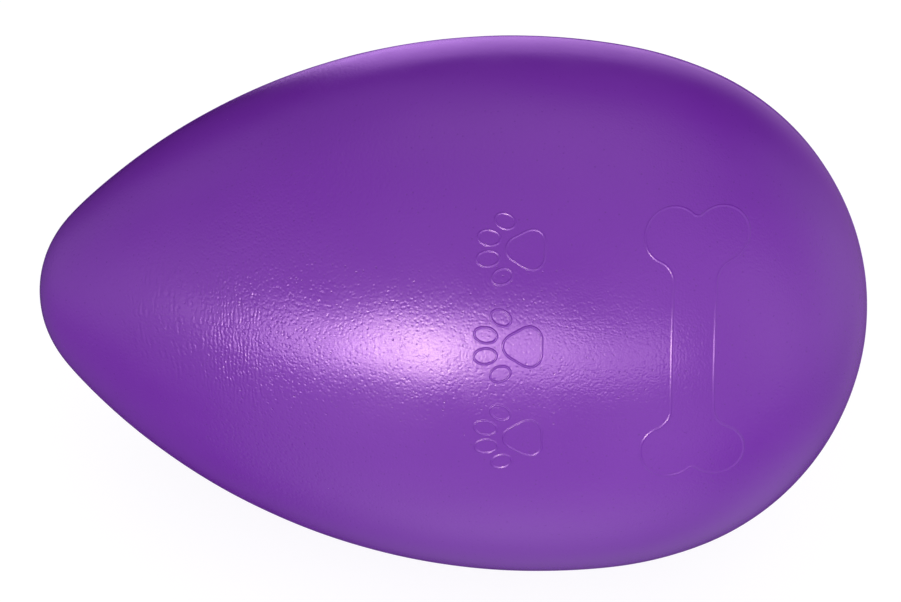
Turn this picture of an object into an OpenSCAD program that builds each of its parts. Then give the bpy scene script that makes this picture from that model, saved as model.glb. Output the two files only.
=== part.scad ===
// Egg-shaped dog toy: one sealed, hollow, hard plastic egg, too wide for a dog's jaws, so it
// rolls and skids away when it is pushed. Millimetres, Z up.
// It lies on its side as it comes to rest, with the narrow end towards -X and a little lower.
// The origin is on the floor, under the middle of the egg's box.
//
// The profile is a chain of four arcs with a common tangent at each joint: the narrow end, the
// long flank, the shoulder and the broad end. It is drawn 203 long and 130 across, and scaled.

/* [Egg] */
// Length over both tips, which scales the whole profile
egg_length = 203; // [180:1:320]
// Thickness of the moulded wall
wall = 4; // [2.5:0.5:8]

/* [Parting line] */
// Width of the thin line where the mould's halves met
parting_w = 0.7; // [0.4:0.1:1.5]
// Height of that line over the surface
parting_h = 0.15; // [0.1:0.05:0.5]

/* [Raised ornament] */
// Direction that the ornament faces, in degrees above level
ornament_elevation = 39; // [0:1:90]
// Width of the raised outlines
ridge_w = 0.7; // [0.6:0.1:2]
// Height of the raised outlines
ridge_h = 0.2; // [0.15:0.05:1]
// Width of one paw print
paw_w = 17; // [14:0.5:22]
// Distance of the paw prints' middles from the narrow tip, as a share of the length
paw_at = 0.608; // [0.55:0.002:0.64]
// Angle around the egg from one paw print to the next
paw_step = 19.5; // [17:0.5:24]
// Length of the bone, measured straight across
bone_l = 62; // [50:1:70]
// Width of the bone over its knobs
bone_w = 23; // [18:0.5:26]
// Distance of the bone's middle from the narrow tip, as a share of the length
bone_at = 0.81; // [0.79:0.002:0.83]

/* [Hidden] */
$fn = 96;

// Arcs of the profile as drawn, as (along the axis, away from the axis). Two neighbours meet on
// the line through their centres. Those three lines run along the whole-number triangles
// 119-120-169, 13-84-85 and 5-12-13, so that every centre and radius is a short decimal and the
// arcs meet exactly
nose_r = 26.78;
nose_c = [nose_r, 0];
flank_r = nose_r + 0.78 * 169;
flank_c = nose_c + 0.78 * [119, -120];
shoulder_r = flank_r - 0.8 * 85;
shoulder_c = flank_c + 0.8 * [13, 84];
broad_r = shoulder_r - 2.2 * 13;
broad_c = [shoulder_c[0] + 2.2 * 5, 0];

// Direction of the surface at the three joints, from the narrow tip (0) over the belly (90) to
// the broad tip (180)
nose_end = atan2(120, 119);
flank_end = 90 + atan2(13, 84);
shoulder_end = 90 + atan2(5, 12);

// Far points on the lines through the joints, and where the middle one crosses the axis
line_1 = nose_c + 3 * [-119, 120];
line_2 = shoulder_c + 5 * [13, 84];
line_3 = broad_c + 30 * [5, 12];
middle = [round(1000 * (flank_c[0] - flank_c[1] * 13 / 84)) / 1000, 0];
far = 400;

// One row for each arc: centre, radius, first angle, last angle, and the wedge it fills
arcs = [
    [nose_c, nose_r, 0, nose_end, [nose_c, [-far, 0], [-far, far], line_1]],
    [flank_c, flank_r, nose_end, flank_end, [nose_c, line_1, line_2, middle]],
    [shoulder_c, shoulder_r, flank_end, shoulder_end, [middle, line_2, line_3, broad_c]],
    [broad_c, broad_r, shoulder_end, 180, [broad_c, line_3, [far, far], [far, 0]]]
];

// Scale of the drawn profile, the egg's largest radius, and an offset as it is drawn
size = egg_length / (broad_c[0] + broad_r);
egg_r = size * (flank_r + flank_c[1]);
function drawn(h) = round(100 * h / size) / 100;

// Volume of the drawn egg grown by g, and its moment about the narrow tip, over thin slices
step = 0.5;
function slices(g) = [for (k = arcs) for (a = [k[2] + step / 2 : step : k[3]])
    let (r = k[0][1] + (k[1] + g) * sin(a), dx = (k[1] + g) * sin(a) * step * PI / 180)
        [PI * r * r * dx, PI * r * r * dx * (k[0][0] - (k[1] + g) * cos(a))]];
function total(v, i) = [for (p = v) p[i]] * [for (p = v) 1];
outer = slices(0);
inner = slices(drawn(-wall));
balance_x = (total(outer, 1) - total(inner, 1)) / (total(outer, 0) - total(inner, 0));

// The egg settles where the flank's radius through the balance point is plumb
rest_tilt = atan((flank_c[0] - balance_x) / -flank_c[1]);

// Lowest point and middle of the tilted egg, measured from its narrow tip
floor_z = flank_c[0] * sin(rest_tilt) - flank_c[1] * cos(rest_tilt) - flank_r;
low_x = nose_c[0] * cos(rest_tilt) - nose_r;
high_x = broad_c[0] * cos(rest_tilt) + broad_r;
mid_x = (low_x + high_x) / 2;

// One arc's share of the half profile, grown by g
module sector(k, g) {
    intersection() {
        translate([k[0][1], k[0][0]]) circle(k[1] + g);
        polygon([for (p = k[4]) [p[1], p[0]]]);
    }
}

// Solid egg grown by h, with its narrow tip at the origin and its axis along X
module egg(h) {
    scale(size) rotate([0, 90, 0]) rotate_extrude() union() for (k = arcs) sector(k, drawn(h));
}

// Raises a flat motif from the egg, around degrees from the ornament's middle and at x along
// the axis. Its walls are upright from z, under the surface, to the height of the outlines
module raised(around, x, z) {
    intersection() {
        egg(ridge_h);
        rotate([around, 0, 0]) translate([x, 0, z]) linear_extrude(egg_r + 2 - z) children();
    }
}

// Places of a paw's toes: sideways, forwards, turn, half width, half length, for a paw 20.5 wide
toes = [[-7.7, 2.3, 24, 2.1, 2.9], [-2.9, 6.4, 8, 2.15, 3.15], [2.9, 6.4, -8, 2.15, 3.15], [7.7, 2.3, -24, 2.1, 2.9]];

// Paw print with its toes towards the narrow end, every edge moved outwards by grow
module paw(grow) {
    s = paw_w / 20.5;
    translate([4.3 * s, 0]) polygon([for (i = [0 : 35]) let (a = 10 * i)
        (5.3 * s * (1 + 0.12 * cos(3 * a)) + grow) * [-cos(a), -sin(a)]]);
    for (t = toes) translate([-t[1] * s, t[0] * s]) rotate(t[2]) polygon([for (i = [0 : 23])
        let (a = 15 * i, q = [t[3] * s * cos(a), t[4] * s * sin(a)])
            [t[4] * s * cos(a), t[3] * s * sin(a)] + grow * q / norm(q)]);
}

// A run of n points along an arc
function arc(c, r, a, b, n) = [for (i = [0 : n - 1]) let (t = a + (b - a) * i / (n - 1)) c + r * [cos(t), sin(t)]];

// A quarter of the bone's edge, from the middle of its shaft over the hollow beside the knob,
// round the knob, and into the notch between the two knobs
function bone_quarter(grow) = let (
    r = 0.27 * bone_w, hollow = 0.22 * bone_w, notch = 0.065 * bone_w, shaft = 0.205 * bone_w,
    k = [bone_w / 2 - r, bone_l / 2 - r],
    f = [shaft + hollow, k[1] - sqrt(pow(r + hollow, 2) - pow(shaft + hollow - k[0], 2))],
    g = [0, k[1] + sqrt(pow(r + notch, 2) - pow(k[0], 2))],
    af = atan2(k[1] - f[1], k[0] - f[0]), ag = atan2(g[1] - k[1], g[0] - k[0])
) concat(
    arc(f, hollow - grow, 180, af, 6),
    arc(k, r + grow, af - 180 + 12, ag - 12, 16),
    arc(g, notch - grow, ag - 180, -90, 4)
);

// Bone lying across the egg, every edge moved outwards by grow
module bone(grow) {
    q = bone_quarter(grow);
    n = len(q);
    polygon(concat(
        q,
        [for (i = [n - 2 : -1 : 0]) [-q[i][0], q[i][1]]],
        [for (i = [0 : n - 1]) [-q[i][0], -q[i][1]]],
        [for (i = [n - 2 : -1 : 0]) [q[i][0], -q[i][1]]]
    ));
}

module paw_outline() {
    difference() { paw(ridge_w / 2); paw(-ridge_w / 2); }
}

module bone_outline() {
    difference() { bone(ridge_w / 2); bone(-ridge_w / 2); }
}

module ornament() {
    for (i = [-1 : 1]) raised(i * paw_step, paw_at * egg_length, egg_r - 3) paw_outline();
    raised(0, bone_at * egg_length, 0.45 * egg_r) bone_outline();
}

module parting_line() {
    intersection() {
        egg(parting_h);
        translate([egg_length / 2, 0, 0]) cube([2 * egg_length, 2 * egg_length, parting_w], center = true);
    }
}

// Turned so that the ornament faces forwards and up, tilted as it rests, and set on the floor
module at_rest() {
    translate(size * [-mid_x, 0, -floor_z]) rotate([0, -rest_tilt, 0]) rotate([90 - ornament_elevation, 0, 0]) children();
}

module egg_shell() {
    color("#7C45AA") at_rest() difference() {
        union() {
            egg(0);
            parting_line();
            ornament();
        }
        egg(-wall);
    }
}

egg_shell();
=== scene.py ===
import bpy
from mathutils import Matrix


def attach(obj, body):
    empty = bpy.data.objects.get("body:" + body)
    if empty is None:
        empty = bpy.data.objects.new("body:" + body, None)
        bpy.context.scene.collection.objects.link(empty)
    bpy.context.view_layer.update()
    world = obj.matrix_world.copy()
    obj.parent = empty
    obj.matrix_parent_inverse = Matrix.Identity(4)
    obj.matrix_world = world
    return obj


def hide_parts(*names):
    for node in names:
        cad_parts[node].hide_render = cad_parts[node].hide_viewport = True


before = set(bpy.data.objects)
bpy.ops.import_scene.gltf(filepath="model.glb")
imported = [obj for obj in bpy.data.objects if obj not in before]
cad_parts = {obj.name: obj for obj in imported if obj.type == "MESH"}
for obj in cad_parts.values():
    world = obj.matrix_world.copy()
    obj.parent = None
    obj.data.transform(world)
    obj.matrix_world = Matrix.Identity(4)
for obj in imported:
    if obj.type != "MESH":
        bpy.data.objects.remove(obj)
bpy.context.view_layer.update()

import math

import bmesh
import bpy
import numpy as np
from mathutils import Matrix, Vector, geometry, noise

# ---------------------------------------------------------------- profile of the egg, mm
# Body frame: narrow tip at the origin, long axis along +X, ornament towards +Z. The four arcs
# are the CAD's own; their curvature is eased over a few millimetres at each joint, so that a
# reflection runs on without a kink.
ARCS = [
    (26.78, math.atan2(120, 119)),
    (158.6, math.pi / 2 + math.atan2(13, 84)),
    (90.6, math.pi / 2 + math.atan2(5, 12)),
    (62.0, math.pi),
]
LENGTH = 203.0
REST_TILT = math.radians(5.952)
ROLL = math.radians(51)
SHIFT = Vector((-101.048, 0.0, 53.102))


def profile_tables(step=0.05, ease=3.2):
    runs, before = [], 0.0
    for radius, end in ARCS:
        runs.append((radius * (end - before), 1 / radius))
        before = end
    total = sum(r[0] for r in runs)
    n = int(round(total / step))
    s = np.linspace(0, total, n + 1)
    mids = (s[:-1] + s[1:]) / 2
    edges = np.cumsum([r[0] for r in runs])
    curv = np.array([r[1] for r in runs])[np.searchsorted(edges, mids).clip(0, 3)]
    w = int(4 * ease / step)
    kernel = np.exp(-0.5 * (np.arange(-w, w + 1) * step / ease) ** 2)
    kernel /= kernel.sum()
    curv = np.convolve(np.concatenate([curv[:w][::-1], curv, curv[-w:][::-1]]), kernel, "valid")
    ds = total / n
    angle = np.concatenate([[0], np.cumsum(curv * ds)])
    angle *= math.pi / angle[-1]
    amid = (angle[:-1] + angle[1:]) / 2
    x = np.concatenate([[0], np.cumsum(np.sin(amid) * ds)])
    r = np.concatenate([[0], np.cumsum(np.cos(amid) * ds)])
    r -= r[-1] * s / total
    x *= LENGTH / x[-1]
    return s, x, r, angle


S_T, X_T, R_T, A_T = profile_tables()
S_END = float(S_T[-1])
BELLY = int(np.argmax(R_T))


def at_s(s):
    return np.interp(s, S_T, X_T), np.interp(s, S_T, R_T), np.interp(s, S_T, A_T)


def point(s, phi):
    x, r, _ = at_s(s)
    return np.stack([x, r * np.sin(phi), r * np.cos(phi)], -1)


def normal(s, phi):
    a = np.interp(s, S_T, A_T)
    return np.stack([-np.cos(a), np.sin(a) * np.sin(phi), np.sin(a) * np.cos(phi)], -1)


# ---------------------------------------------------------------- ornament, the CAD's own outlines
RIDGE_H = 0.17
PAW_W, PAW_AT, PAW_STEP = 17.0, 0.608 * LENGTH, 19.5
BONE_L, BONE_W, BONE_AT = 62.0, 23.0, 0.81 * LENGTH
TOES = [(-7.7, 2.3, 24, 2.1, 2.9), (-2.9, 6.4, 8, 2.15, 3.15), (2.9, 6.4, -8, 2.15, 3.15), (7.7, 2.3, -24, 2.1, 2.9)]


def paw_curves():
    k = PAW_W / 20.5
    a = np.linspace(0, 2 * math.pi, 361)[:-1]
    r = 5.3 * k * (1 + 0.12 * np.cos(3 * a))
    curves = [np.stack([4.3 * k - r * np.cos(a), -r * np.sin(a)], 1)]
    for side, ahead, turn, half_w, half_l in TOES:
        g = math.radians(turn)
        u, v = half_l * k * np.cos(a), half_w * k * np.sin(a)
        curves.append(
            np.stack([u * math.cos(g) - v * math.sin(g) - ahead * k, u * math.sin(g) + v * math.cos(g) + side * k], 1)
        )
    return curves


def bone_curve():
    w, l = BONE_W, BONE_L
    r, hollow, notch, shaft = 0.27 * w, 0.22 * w, 0.065 * w, 0.205 * w
    k = (w / 2 - r, l / 2 - r)
    f = (shaft + hollow, k[1] - math.sqrt((r + hollow) ** 2 - (shaft + hollow - k[0]) ** 2))
    g = (0.0, k[1] + math.sqrt((r + notch) ** 2 - k[0] ** 2))
    af = math.atan2(k[1] - f[1], k[0] - f[0])
    ag = math.atan2(g[1] - k[1], g[0] - k[0])

    def arc(c, rad, a, b, n):
        t = np.linspace(a, b, n)
        return [(c[0] + rad * math.cos(q), c[1] + rad * math.sin(q)) for q in t]

    quarter = (
        [(shaft, 0.0)]
        + arc(f, hollow, math.pi, af, 30)
        + arc(k, r, af - math.pi, ag, 90)[1:]
        + arc(g, notch, ag - math.pi, -math.pi / 2, 16)[1:]
    )
    q = np.array(quarter)
    loop = np.concatenate(
        [q, (q * [-1, 1])[::-1][1:], (q * [-1, -1])[1:], (q * [1, -1])[::-1][1:-1]]
    )
    return loop


def evenly(curve, step):
    closed = np.concatenate([curve, curve[:1]])
    d = np.concatenate([[0], np.cumsum(np.linalg.norm(np.diff(closed, axis=0), axis=1))])
    n = int(round(d[-1] / step))
    t = np.arange(n) * d[-1] / n
    return np.stack([np.interp(t, d, closed[:, 0]), np.interp(t, d, closed[:, 1])], 1)


# (where on the axis, turn around the egg, its closed outlines)
MOTIFS = [(PAW_AT, math.radians(i * PAW_STEP), paw_curves()) for i in (-1, 0, 1)]
MOTIFS.append((BONE_AT, 0.0, [bone_curve()]))


def to_surface(at, turn, uv):
    """A motif's flat point, carried straight down onto the egg: (s, phi)."""
    x = at + uv[:, 0]
    s = np.interp(x, X_T, S_T)
    r = np.interp(s, S_T, R_T)
    z = np.sqrt(np.maximum(r * r - uv[:, 1] ** 2, 1e-9))
    return s, np.arctan2(uv[:, 1], z) - turn


def distances(s, phi):
    """Distance of surface points to each outline, in the outline's own flat plane."""
    x, r, _ = at_s(s)
    columns = []
    for at, turn, curves in MOTIFS:
        p = np.stack([x - at, r * np.sin(phi + turn)], 1)
        near = (np.abs(phi + turn) < 1.1)
        for c in curves:
            out = np.full(len(p), 99.0)
            c = evenly(c, 0.3)
            lo, hi = c.min(0) - 9, c.max(0) + 9
            idx = np.nonzero(near & (p > lo).all(1) & (p < hi).all(1))[0]
            a, b = c, np.roll(c, -1, axis=0)
            ab = b - a
            for chunk in np.array_split(idx, max(1, len(idx) // 2000)):
                if not len(chunk):
                    continue
                q = p[chunk][:, None, :] - a[None]
                t = np.clip((q * ab).sum(2) / (ab * ab).sum(1), 0, 1)
                out[chunk] = np.linalg.norm(q - t[..., None] * ab, axis=2).min(1)
            columns.append(out)
    return np.stack(columns, 1)


def smooth(t):
    t = np.clip(t, 0, 1)
    return t * t * (3 - 2 * t)


# ---------------------------------------------------------------- grid over the whole egg
T60 = math.tan(math.radians(60))
NA, NB = 98, 58
ua = np.tan(np.radians(np.linspace(-60, 60, NA + 1)))
ua[0], ua[-1] = -T60, T60
ub = np.tan(np.radians(np.linspace(-45, 45, NB + 1)))
ub[0], ub[-1] = -1, 1
LINE_Z = [0.0, 0.1, 0.2, 0.3, 0.4, 0.52, 0.68, 0.95, 1.35]
side = list(np.tan(np.radians(np.linspace(2.3, 45, 27))))
side[-1] = 1.0
uc = np.array([-v for v in side[::-1]] + [0.0] * (2 * len(LINE_Z) - 1) + side)
set_z = np.full(len(uc), np.nan)
set_z[len(side):len(side) + 2 * len(LINE_Z) - 1] = [-z for z in LINE_Z[:0:-1]] + LINE_Z
NC = len(uc) - 1

index, triples, quads = {}, [], []


def vert(ia, ib, ic):
    key = (ia, ib, ic)
    if key not in index:
        index[key] = len(triples)
        triples.append(key)
    return index[key]


# The part of the +Z side that holds the ornament is left out here and filled below
I0 = int(np.searchsorted(ua, -0.02))
I1 = int(np.searchsorted(ua, 1.62))
J1 = int(np.searchsorted(ub, 0.76))
J0 = NB - J1
for top in (0, NC):
    for i in range(NA):
        for j in range(NB):
            if top == NC and I0 <= i < I1 and J0 <= j < J1:
                continue
            q = [vert(i, j, top), vert(i + 1, j, top), vert(i + 1, j + 1, top), vert(i, j + 1, top)]
            quads.append(q if top else q[::-1])
for far in (0, NB):
    for i in range(NA):
        for k in range(NC):
            q = [vert(i, far, k), vert(i, far, k + 1), vert(i + 1, far, k + 1), vert(i + 1, far, k)]
            quads.append(q if far else q[::-1])
for end in (0, NA):
    for j in range(NB):
        for k in range(NC):
            q = [vert(end, j, k), vert(end, j + 1, k), vert(end, j + 1, k + 1), vert(end, j, k + 1)]
            quads.append(q if end else q[::-1])

tri = np.array(triples)
d = np.stack([ua[tri[:, 0]], ub[tri[:, 1]], uc[tri[:, 2]]], 1)
norm = np.linalg.norm(d, axis=1)
S = S_END * np.arccos(np.clip(-d[:, 0] / norm, -1, 1)) / math.pi
PHI = np.arctan2(d[:, 1], d[:, 2])
# Lines beside the mould line keep an even distance from it all the way round
line = ~np.isnan(set_z[tri[:, 2]]) & (tri[:, 2] != 0) & (tri[:, 2] != NC)
zl = set_z[tri[:, 2]]
_, r0, _ = at_s(S)
sign = np.where(d[:, 1] >= 0, 1.0, -1.0)
on_side = line & ((tri[:, 1] == 0) | (tri[:, 1] == NB))
PHI[on_side] = sign[on_side] * np.arccos(np.clip(zl[on_side] / r0[on_side], -1, 1))
on_end = line & ~on_side
y0 = r0 * sign
y0[np.abs(d[:, 1]) < 1e-9] = 0
rr = np.hypot(y0, np.where(line, zl, 0))
front = np.interp(rr, R_T[:BELLY], S_T[:BELLY])
back = np.interp(rr, R_T[BELLY:][::-1], S_T[BELLY:][::-1])
S[on_end] = np.where(d[on_end, 0] < 0, front[on_end], back[on_end])
PHI[on_end] = np.arctan2(y0[on_end], zl[on_end])

# ---------------------------------------------------------------- patch with the ornament
FLAT = 60.0  # mm for each radian around the egg, in the flat plane that the patch is filled in
ring = (
    [vert(i, J0, NC) for i in range(I0, I1)]
    + [vert(I1, j, NC) for j in range(J0, J1)]
    + [vert(i, J1, NC) for i in range(I1, I0, -1)]
    + [vert(I0, j, NC) for j in range(J1, J0, -1)]
)
assert len(triples) == len(tri)
pts2, sphi, fixed = [], [], []


def put(s, phi, key=None):
    pts2.append((float(s), float(phi) * FLAT))
    sphi.append((float(s), float(phi)))
    fixed.append(key)
    return len(pts2) - 1


ring_ids = [put(S[v], PHI[v], v) for v in ring]
edges2 = [(ring_ids[k], ring_ids[(k + 1) % len(ring_ids)]) for k in range(len(ring_ids))]

# Lines along each outline, at even distances from its middle
RAILS = (0.0, 0.05, -0.05, 0.12, -0.12, 0.19, -0.19, 0.26, -0.26, 0.34, -0.34, 0.44, -0.44, 0.66, -0.66, 0.98, -0.98)
column = 0
for at, turn, curves in MOTIFS:
    for c in curves:
        mid = evenly(c, 0.42)
        along = np.roll(mid, -1, 0) - np.roll(mid, 1, 0)
        along /= np.linalg.norm(along, axis=1)[:, None]
        across = np.stack([along[:, 1], -along[:, 0]], 1)
        for off in RAILS:
            uv = mid + across * off
            s, phi = to_surface(at, turn, uv)
            dist = distances(s, phi)
            own = dist[:, column]
            other = np.delete(dist, column, axis=1).min(1)
            keep = (other > abs(off) + 0.07) & (own > abs(off) - 0.03)
            ids = [put(s[k], phi[k]) if keep[k] else None for k in range(len(uv))]
            for k in range(len(ids)):
                a, b = ids[k], ids[(k + 1) % len(ids)]
                if a is not None and b is not None:
                    edges2.append((a, b))
        # A looser row further out eases the step to the coarse grid
        mid = evenly(c, 0.95)
        along = np.roll(mid, -1, 0) - np.roll(mid, 1, 0)
        along /= np.linalg.norm(along, axis=1)[:, None]
        across = np.stack([along[:, 1], -along[:, 0]], 1)
        for off in (1.45, -1.45):
            s, phi = to_surface(at, turn, mid + across * off)
            near = distances(s, phi).min(1)
            for k in np.nonzero(near > 1.38)[0]:
                q = (float(s[k]), float(phi[k]) * FLAT)
                if not any(abs(q[0] - p[0]) < 0.55 and abs(q[1] - p[1]) < 0.55 for p in pts2[-160:]):
                    put(s[k], phi[k])
        column += 1

# Free points of the grid, where they are clear of the outlines
gi, gj = np.meshgrid(np.arange(I0 + 1, I1), np.arange(J0 + 1, J1), indexing="ij")
gd = np.stack([ua[gi.ravel()], ub[gj.ravel()], np.ones(gi.size)], 1)
gs = S_END * np.arccos(-gd[:, 0] / np.linalg.norm(gd, axis=1)) / math.pi
gp = np.arctan2(gd[:, 1], gd[:, 2])
clear = distances(gs, gp).min(1) > 2.0
for k in np.nonzero(clear)[0]:
    put(gs[k], gp[k])

out_v, _, out_f, orig_v, _, _ = geometry.delaunay_2d_cdt(
    [Vector(p) for p in pts2], edges2, [], 0, 1e-5, True
)
poly = np.array([pts2[k] for k in ring_ids])


def inside(p):
    x, y = p
    a, b = poly, np.roll(poly, -1, 0)
    cross = ((a[:, 1] > y) != (b[:, 1] > y)) & (
        x < (b[:, 0] - a[:, 0]) * (y - a[:, 1]) / np.where(b[:, 1] == a[:, 1], 1e-12, b[:, 1] - a[:, 1]) + a[:, 0]
    )
    return cross.sum() % 2 == 1


S, PHI = list(S), list(PHI)
new_id = []
for k, v in enumerate(out_v):
    key = next((fixed[o] for o in orig_v[k] if fixed[o] is not None), None)
    if key is None:
        S.append(v[0])
        PHI.append(v[1] / FLAT)
        key = len(S) - 1
    new_id.append(key)
tris = []
for f in out_f:
    c = np.mean([out_v[k] for k in f], axis=0)
    if inside(c[:2]):
        tris.append([new_id[k] for k in f])
S, PHI = np.array(S), np.array(PHI)

# ---------------------------------------------------------------- heights over the plain egg
base, nrm = point(S, PHI), normal(S, PHI)
ridge = distances(S, PHI).min(1)
# Each outline is a narrow ridge with straight sides, its foot and top slightly rounded
side_t = np.clip((0.33 - ridge) / 0.28, 0, 1)
height = RIDGE_H * (0.65 * side_t + 0.35 * smooth(side_t))
# the thin line where the mould's halves met, a little uneven along its length
worn = np.array([noise.noise(Vector(p) * 0.09) for p in base])
height += (0.13 + 0.05 * worn) * smooth((0.42 - np.abs(base[:, 2])) / 0.3) - 0.06 * smooth(0.5 - base[:, 2] / 0.4)
# the shell is a blow moulding: its skin is very slightly uneven, wider than a finger
uneven = np.array(
    [0.085 * noise.noise(Vector(p) / 46 + Vector((3.1, 0, 7.7))) + 0.032 * noise.noise(Vector(p) / 17) for p in base]
)
height += uneven
co = base + nrm * height[:, None]

to_row = (
    Matrix.Translation(SHIFT)
    @ Matrix.Rotation(-REST_TILT, 4, "Y")
    @ Matrix.Rotation(ROLL, 4, "X")
)
M = np.array(to_row)
row = (co @ M[:3, :3].T + M[:3, 3]) / 1000

mesh = bpy.data.meshes.new("egg_body")
mesh.from_pydata([tuple(p) for p in row], [], quads + tris)
mesh.validate()
body_at = mesh.attributes.new("body", "FLOAT_VECTOR", "POINT")
body_at.data.foreach_set("vector", (co / 1000).astype(np.float32).ravel())
ridge_at = mesh.attributes.new("ridge", "FLOAT", "POINT")
ridge_at.data.foreach_set("value", np.minimum(ridge, 9).astype(np.float32))
bm = bmesh.new()
bm.from_mesh(mesh)
loose = [v for v in bm.verts if not v.link_faces]
bmesh.ops.delete(bm, geom=loose, context="VERTS")
bmesh.ops.recalc_face_normals(bm, faces=bm.faces)
open_edges = sum(1 for e in bm.edges if len(e.link_faces) != 2)
bm.to_mesh(mesh)
bm.free()
mesh.polygons.foreach_set("use_smooth", [True] * len(mesh.polygons))
mesh.update()
n_tris = sum(len(p.vertices) - 2 for p in mesh.polygons)
print("egg mesh:", len(mesh.vertices), "points,", n_tris, "triangles,", open_edges, "open edges")
egg = bpy.data.objects.new("egg_body", mesh)
bpy.context.scene.collection.objects.link(egg)


# ---------------------------------------------------------------- moulded plastic
def plastic():
    mat = bpy.data.materials.new("purple_plastic_skin")
    mat.use_nodes = True
    nt = mat.node_tree
    nodes, link = nt.nodes, nt.links.new
    nodes.clear()

    def node(kind, **values):
        n = nodes.new(kind)
        for key, v in values.items():
            if key in n.inputs:
                n.inputs[key].default_value = v
            else:
                setattr(n, key, v)
        return n

    def math_(op, a, b=None, clamp=False):
        n = nodes.new("ShaderNodeMath")
        n.operation, n.use_clamp = op, clamp
        for i, v in enumerate((a, b)):
            if v is None:
                continue
            if isinstance(v, (int, float)):
                n.inputs[i].default_value = v
            else:
                link(v, n.inputs[i])
        return n.outputs[0]

    def ramp(value, lo, hi, out_lo=0.0, out_hi=1.0):
        n = nodes.new("ShaderNodeMapRange")
        n.interpolation_type = "SMOOTHSTEP"
        link(value, n.inputs["Value"])
        for key, v in (("From Min", lo), ("From Max", hi), ("To Min", out_lo), ("To Max", out_hi)):
            n.inputs[key].default_value = v
        return n.outputs["Result"]

    body = node("ShaderNodeAttribute", attribute_name="body")
    ridge = node("ShaderNodeAttribute", attribute_name="ridge")
    p = body.outputs["Vector"]
    xyz = node("ShaderNodeSeparateXYZ")
    link(p, xyz.inputs[0])
    x_mm = math_("MULTIPLY", xyz.outputs["X"], 1000)
    # how far round a point is from the ornament's side: 1 on it, 0 at the mould line
    radial = math_("SQRT", math_("ADD", math_("POWER", xyz.outputs["Y"], 2.0), math_("POWER", xyz.outputs["Z"], 2.0)))
    facing = math_("DIVIDE", xyz.outputs["Z"], math_("MAXIMUM", radial, 0.001))

    def noise_tex(scale, detail=2.0, rough=0.5, vector=None, distortion=0.0):
        n = node("ShaderNodeTexNoise", Scale=scale, Detail=detail, Roughness=rough, Distortion=distortion)
        link(vector or p, n.inputs["Vector"])
        return n.outputs["Fac"]

    # grain: a fine uneven skin with round dimples about half a millimetre across, and fewer,
    # deeper pits
    def dots(scale, radius):
        n = node("ShaderNodeTexVoronoi", Scale=scale, Randomness=1.0)
        link(p, n.inputs["Vector"])
        return ramp(n.outputs["Distance"], 0.0, radius, 1.0, 0.0)

    pebble = noise_tex(1150, 0.0)
    small = noise_tex(2250, 0.0)
    dimple = math_("SUBTRACT", dots(1020.0, 0.5), math_("MULTIPLY", dots(830.0, 0.42), 0.7))
    pits = node("ShaderNodeTexVoronoi", Scale=680.0, Randomness=1.0)
    link(p, pits.inputs["Vector"])
    chosen = node("ShaderNodeSeparateColor")
    link(pits.outputs["Color"], chosen.inputs[0])
    pit = math_("MULTIPLY", ramp(pits.outputs["Distance"], 0.04, 0.22, 1.0, 0.0), ramp(chosen.outputs["Red"], 0.45, 0.7))
    fine = noise_tex(4200, 0.0)
    # the outlines and the mould line were polished in the mould, so they carry less grain
    plain = ramp(ridge.outputs["Fac"], 0.28, 0.5, 0.25, 1.0)

    # rings left by turning the mould, near the narrow end, and fainter ones along the egg
    wob = math_("MULTIPLY", math_("SUBTRACT", noise_tex(60, 1.0), 0.5), 2.2)
    wob = math_("ADD", wob, math_("MULTIPLY", math_("SUBTRACT", noise_tex(520, 0.0), 0.5), 1.1))
    # the rings jump by half their pitch at the ornament's middle
    wob = math_("ADD", wob, ramp(xyz.outputs["Y"], -0.0001, 0.0002, 0.0, 0.45))
    ring_wave = math_("SINE", math_("MULTIPLY", math_("ADD", x_mm, wob), 2 * math.pi / 1.0))
    ring_on = math_("MULTIPLY", ramp(x_mm, 44, 56), ramp(x_mm, 64, 66.5, 1.0, 0.0))
    ring_on = math_("MULTIPLY", ring_on, ramp(facing, 0.93, 0.975, 0.1, 1.0))
    ring_patch = ramp(noise_tex(420, 1.0), 0.36, 0.54, 0.2, 1.0)
    rings = math_("MULTIPLY", math_("MULTIPLY", ring_wave, ring_on), ring_patch)
    tip_wave = math_("SINE", math_("MULTIPLY", math_("ADD", x_mm, wob), 2 * math.pi / 1.6))
    tip_on = math_("MULTIPLY", ramp(x_mm, 26, 34), ramp(x_mm, 46, 54, 1.0, 0.0))
    tip_on = math_("MULTIPLY", tip_on, ramp(facing, 0.93, 0.975, 0.1, 1.0))
    tip_rings = math_("MULTIPLY", math_("MULTIPLY", tip_wave, tip_on), ramp(noise_tex(420, 0.0), 0.46, 0.62))

    stretch = node("ShaderNodeMapping")
    stretch.inputs["Scale"].default_value = (0.06, 1.0, 1.0)
    link(p, stretch.inputs["Vector"])
    streak = noise_tex(700, 1.0, 0.5, stretch.outputs[0])
    streak_on = math_("MULTIPLY", ramp(x_mm, 118, 132), ramp(x_mm, 168, 184, 1.0, 0.0))

    # cutter marks that follow the outlines of the ornament
    cut = math_("SINE", math_("MULTIPLY", ridge.outputs["Fac"], 2 * math.pi / 0.8))
    cut_on = math_("MULTIPLY", ramp(ridge.outputs["Fac"], 0.8, 1.3), ramp(ridge.outputs["Fac"], 2.6, 3.8, 1.0, 0.0))
    cuts = math_("MULTIPLY", math_("MULTIPLY", cut, cut_on), ramp(noise_tex(160, 1.0), 0.4, 0.6))

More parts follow.
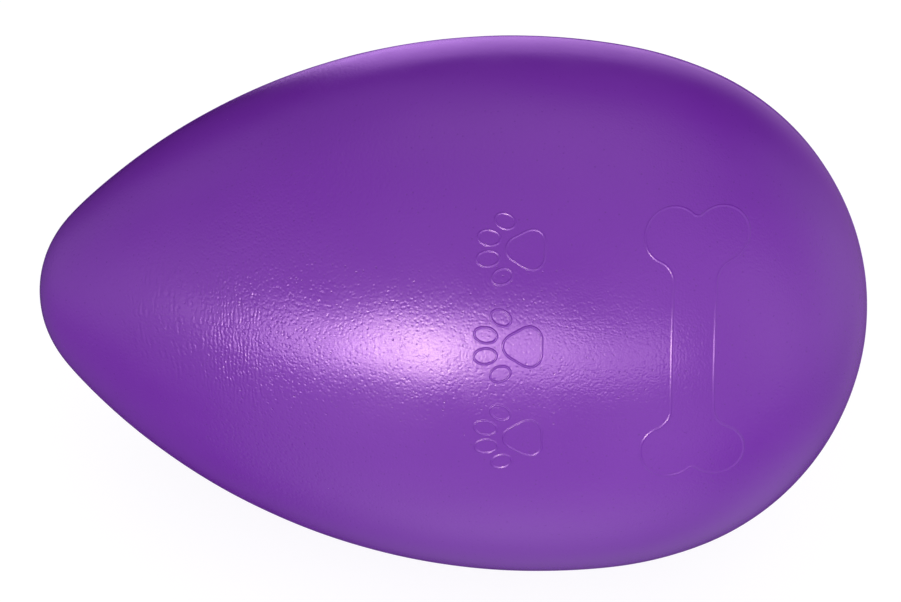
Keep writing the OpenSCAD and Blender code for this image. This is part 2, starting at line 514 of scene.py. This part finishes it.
    # heights in micrometres
    finer = ramp(x_mm, 122, 142)
    coarser = math_("MULTIPLY", ramp(x_mm, 66, 92, 2.15, 1.0), ramp(x_mm, 46, 58, 0.55, 1.0))
    grain = math_("MULTIPLY", pebble, math_("ADD", math_("MULTIPLY", finer, -6), 16))
    grain = math_("ADD", grain, math_("MULTIPLY", small, math_("ADD", math_("MULTIPLY", finer, 30), 16)))
    grain = math_("ADD", grain, math_("MULTIPLY", dimple, math_("ADD", math_("MULTIPLY", finer, 2), -26)))
    grain = math_("MULTIPLY", grain, coarser)
    grain = math_("ADD", grain, math_("MULTIPLY", pit, -38))
    grain = math_("ADD", grain, math_("MULTIPLY", fine, 2.5))
    h = math_("MULTIPLY", math_("MULTIPLY", grain, plain), ramp(facing, 0.45, 0.88, 0.35, 1.0))
    h = math_("ADD", h, math_("MULTIPLY", rings, 27.0))
    h = math_("ADD", h, math_("MULTIPLY", tip_rings, 30.0))
    h = math_("ADD", h, math_("MULTIPLY", math_("MULTIPLY", streak, streak_on), 14.0))
    h = math_("ADD", h, math_("MULTIPLY", cuts, 5.0))
    bump = node("ShaderNodeBump", Strength=1.0, Distance=1e-6)
    link(h, bump.inputs["Height"])

    # colour: one pigment through and through, a touch uneven where it flowed into the mould, and darkened in the
    # deeper pits as painted shade
    flow = node("ShaderNodeMapping")
    flow.inputs["Scale"].default_value = (0.5, 1.0, 1.0)
    link(p, flow.inputs["Vector"])
    cloud = noise_tex(24, 3.0, 0.55, flow.outputs[0], 0.6)
    speck = noise_tex(1500, 1.0, 0.5)
    tint = nodes.new("ShaderNodeMix")
    tint.data_type = "RGBA"
    link(ramp(cloud, 0.3, 0.7), tint.inputs["Factor"])
    tint.inputs["A"].default_value = (0.146, 0.0172, 0.338, 1)
    tint.inputs["B"].default_value = (0.154, 0.0189, 0.352, 1)
    # painted shade: the base colour is mixed towards a dark purple inside the deeper pits, standing in for their shade
    pit_shade = nodes.new("ShaderNodeMix")
    pit_shade.data_type = "RGBA"
    link(math_("MULTIPLY", pit, 0.35), pit_shade.inputs["Factor"])
    link(tint.outputs["Result"], pit_shade.inputs["A"])
    pit_shade.inputs["B"].default_value = (0.07, 0.006, 0.16, 1)

    rough = math_("ADD", ramp(noise_tex(85, 3.0, 0.6), 0.3, 0.7, 0.2, 0.25), math_("MULTIPLY", speck, 0.03))

    shader = node("ShaderNodeBsdfPrincipled")
    shader.inputs["IOR"].default_value = 1.52
    shader.inputs["Specular Tint"].default_value = (1.0, 0.72, 0.92, 1)
    link(pit_shade.outputs["Result"], shader.inputs["Base Color"])
    link(rough, shader.inputs["Roughness"])
    link(bump.outputs["Normal"], shader.inputs["Normal"])
    out = node("ShaderNodeOutputMaterial")
    link(shader.outputs[0], out.inputs["Surface"])
    return mat


mesh.materials.clear()
mesh.materials.append(plastic())
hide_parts("egg_shell")
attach(egg, "root")


# ---------------------------------------------------------------- floor, world, light
def towards(azimuth, elevation):
    """Unit vector from the egg; azimuth 0 is -Y, positive towards +X."""
    a, e = math.radians(azimuth), math.radians(elevation)
    return Vector((math.sin(a) * math.cos(e), -math.cos(a) * math.cos(e), math.sin(e)))


EGG_AT = Vector((0, 0, 0.065))

floor_mesh = bpy.data.meshes.new("floor")
floor_mesh.from_pydata([(-6, -6, 0), (6, -6, 0), (6, 6, 0), (-6, 6, 0)], [], [(0, 1, 2, 3)])
floor = bpy.data.objects.new("floor", floor_mesh)
bpy.context.scene.collection.objects.link(floor)
pale = bpy.data.materials.new("pale_floor")
pale.use_nodes = True
pb = pale.node_tree.nodes["Principled BSDF"]
pb.inputs["Base Color"].default_value = (0.18, 0.18, 0.18, 1)
pb.inputs["Roughness"].default_value = 0.9
pb.inputs["Specular IOR Level"].default_value = 0.2
pb.inputs["Emission Color"].default_value = (1, 1, 1, 1)
pb.inputs["Emission Strength"].default_value = 0.87
floor_mesh.materials.append(pale)
floor.visible_glossy = False

world = bpy.data.worlds.new("studio")
world.use_nodes = True
wn = world.node_tree
bg = wn.nodes["Background"]
bg.inputs["Color"].default_value = (1, 1, 1, 1)
tc = wn.nodes.new("ShaderNodeTexCoord")

# A white tent, brighter in some directions, with a lilac backdrop behind the egg:
# (name, azimuth, elevation, half-width, brightness, colour)
WHITE, LILAC = (1.0, 1.0, 1.0), (0.95, 0.55, 1.2)
TENT = [
    ("front_left", -50, 22, 60, 0.84, WHITE),
    ("front_right", 50, 22, 60, 1.10, WHITE),
    ("left", -100, 10, 46, 0.32, WHITE),
    ("right", 105, 12, 52, 0.54, WHITE),
    ("top_front", 0, 70, 58, 0.27, WHITE),
    ("front_high", 0, 55, 34, 0.20, WHITE),
    ("top_rear", 180, 75, 50, 0.77, WHITE),
    ("rear_high", 180, 40, 40, 0.26, LILAC),
    ("rear_left", -138, 34, 36, 0.28, WHITE),
    ("rear_right", 150, 55, 36, 0.15, WHITE),
    ("rear_low", 176, -22, 22, 0.2, LILAC),
    ("low_front", 0, -30, 55, 1.05, WHITE),
    ("low_left", -100, -30, 50, 0.14, WHITE),
    ("low_right", 100, -30, 50, 0.24, WHITE),
    ("down", 55, -73, 43, 0.30, WHITE),
    ("rear_right_low", 150, -28, 30, 0.26, LILAC),
]
tent = None
for name, az, el, half, bright, colour in TENT:
    dot = wn.nodes.new("ShaderNodeVectorMath")
    dot.operation = "DOT_PRODUCT"
    wn.links.new(tc.outputs["Generated"], dot.inputs[0])
    dot.inputs[1].default_value = towards(az, el)
    fall = wn.nodes.new("ShaderNodeMapRange")
    fall.interpolation_type = "SMOOTHSTEP"
    fall.name = "tent_" + name
    wn.links.new(dot.outputs["Value"], fall.inputs["Value"])
    for key, v in (("From Min", math.cos(math.radians(half))), ("From Max", 1.0), ("To Min", 0.0), ("To Max", bright)):
        fall.inputs[key].default_value = v
    lit = wn.nodes.new("ShaderNodeVectorMath")
    lit.operation = "SCALE"
    lit.inputs[0].default_value = colour
    wn.links.new(fall.outputs["Result"], lit.inputs["Scale"])
    if tent is None:
        tent = lit.outputs["Vector"]
    else:
        add = wn.nodes.new("ShaderNodeVectorMath")
        add.operation = "ADD"
        wn.links.new(tent, add.inputs[0])
        wn.links.new(lit.outputs["Vector"], add.inputs[1])
        tent = add.outputs["Vector"]


def world_math(op, a, b):
    n = wn.nodes.new("ShaderNodeMath")
    n.operation = op
    for i, v in enumerate((a, b)):
        if isinstance(v, (int, float)):
            n.inputs[i].default_value = v
        else:
            wn.links.new(v, n.inputs[i])
    return n.outputs[0]


def world_ramp(value, lo, hi, out_lo=0.0, out_hi=1.0):
    n = wn.nodes.new("ShaderNodeMapRange")
    n.interpolation_type = "SMOOTHSTEP"
    wn.links.new(value, n.inputs["Value"])
    for key, v in (("From Min", lo), ("From Max", hi), ("To Min", out_lo), ("To Max", out_hi)):
        n.inputs[key].default_value = v
    return n


# a low lilac card behind the egg, which draws the bright band along its upper rim; the card's
# left end is cut at a slant
CARD, CARD_COLOUR = 1.25, (0.85, 0.44, 1.25)
way = wn.nodes.new("ShaderNodeSeparateXYZ")
wn.links.new(tc.outputs["Generated"], way.inputs[0])
behind = world_ramp(way.outputs["Y"], 0.1, 0.3).outputs[0]
across = world_math("DIVIDE", way.outputs["X"], world_math("MAXIMUM", way.outputs["Y"], 0.05))
slant = world_math("ADD", across, world_math("MULTIPLY", way.outputs["Z"], 0.2))
card = world_math("MULTIPLY", behind, world_ramp(slant, -0.405, -0.31).outputs[0])
card = world_math("MULTIPLY", card, world_ramp(across, -0.22, 0.34, 1.0, 0.0).outputs[0])
card = world_math("MULTIPLY", card, world_ramp(way.outputs["Z"], -0.09, 0.04, 1.0, 0.0).outputs[0])
card = world_math("MULTIPLY", card, world_ramp(way.outputs["Z"], -0.62, -0.50).outputs[0])
card_lit = world_ramp(card, 0.0, 1.0, 0.0, CARD)
card_lit.interpolation_type = "LINEAR"
card_lit.name = "tent_card"
lit = wn.nodes.new("ShaderNodeVectorMath")
lit.operation = "SCALE"
lit.inputs[0].default_value = CARD_COLOUR
wn.links.new(card_lit.outputs["Result"], lit.inputs["Scale"])
add = wn.nodes.new("ShaderNodeVectorMath")
add.operation = "ADD"
wn.links.new(tent, add.inputs[0])
wn.links.new(lit.outputs["Vector"], add.inputs[1])
wn.links.new(add.outputs["Vector"], bg.inputs["Color"])
bg.inputs["Strength"].default_value = 1.0
bpy.context.scene.world = world


def area(name, azimuth, elevation, distance, width, height, watts, colour=(1, 1, 1), glossy=True, diffuse=True):
    data = bpy.data.lights.new(name, "AREA")
    data.shape = "RECTANGLE"
    data.size, data.size_y, data.energy, data.color = width, height, watts, colour
    ob = bpy.data.objects.new(name, data)
    d = towards(azimuth, elevation)
    ob.location = EGG_AT + d * distance
    ob.rotation_mode = "QUATERNION"
    ob.rotation_quaternion = (-d).to_track_quat("-Z", "Y")
    ob.visible_glossy, ob.visible_diffuse = glossy, diffuse
    bpy.context.scene.collection.objects.link(ob)
    return ob


# a row of soft panels that draws the highlight, brightest and warmest left of the middle
PINK, CREAM = (1.0, 0.83, 1.1), (1.0, 1.35, 0.22)
area("panel_end", -63, 10, 0.9, 0.28, 0.20, 0.26, PINK, diffuse=False)
area("panel_far_left", -44, 16, 0.9, 0.32, 0.29, 2.0, PINK, diffuse=False)
area("panel_left", -25, 23, 0.9, 0.34, 0.38, 5.1, PINK, diffuse=False)
area("panel_core", -22, 24, 0.9, 0.24, 0.20, 1.55, CREAM, diffuse=False)
area("panel_middle", -4, 28, 0.9, 0.36, 0.36, 2.8, PINK, diffuse=False)
area("panel_right", 22, 26, 0.9, 0.44, 0.30, 1.5, PINK, diffuse=False)
# broad light that the plastic doesn't mirror
area("fill", 0, 30, 1.3, 0.7, 0.6, 2.45, glossy=False)

# ---------------------------------------------------------------- camera
cam_data = bpy.data.cameras.new("camera")
cam_data.lens, cam_data.sensor_width = 135, 36
cam_data.clip_start, cam_data.clip_end = 0.02, 50
cam = bpy.data.objects.new("camera", cam_data)
cam_roll = math.radians(3)
back_ = towards(3.865, 48)
right_ = Vector((math.cos(math.radians(3.865)), math.sin(math.radians(3.865)), 0))
up_ = back_.cross(right_)
target = Vector((0, 0, 0.0645)) + right_ * 0.000394 - up_ * 0.000637
r2 = right_ * math.cos(cam_roll) + up_ * math.sin(cam_roll)
u2 = up_ * math.cos(cam_roll) - right_ * math.sin(cam_roll)
cam.matrix_world = Matrix.Translation(target + back_ * 0.8255) @ Matrix((r2, u2, back_)).transposed().to_4x4()
bpy.context.scene.collection.objects.link(cam)
bpy.context.scene.camera = cam
bpy.context.scene.view_settings.view_transform = "Standard"
bpy.context.scene.view_settings.look = "None"

bpy.context.view_layer.update()
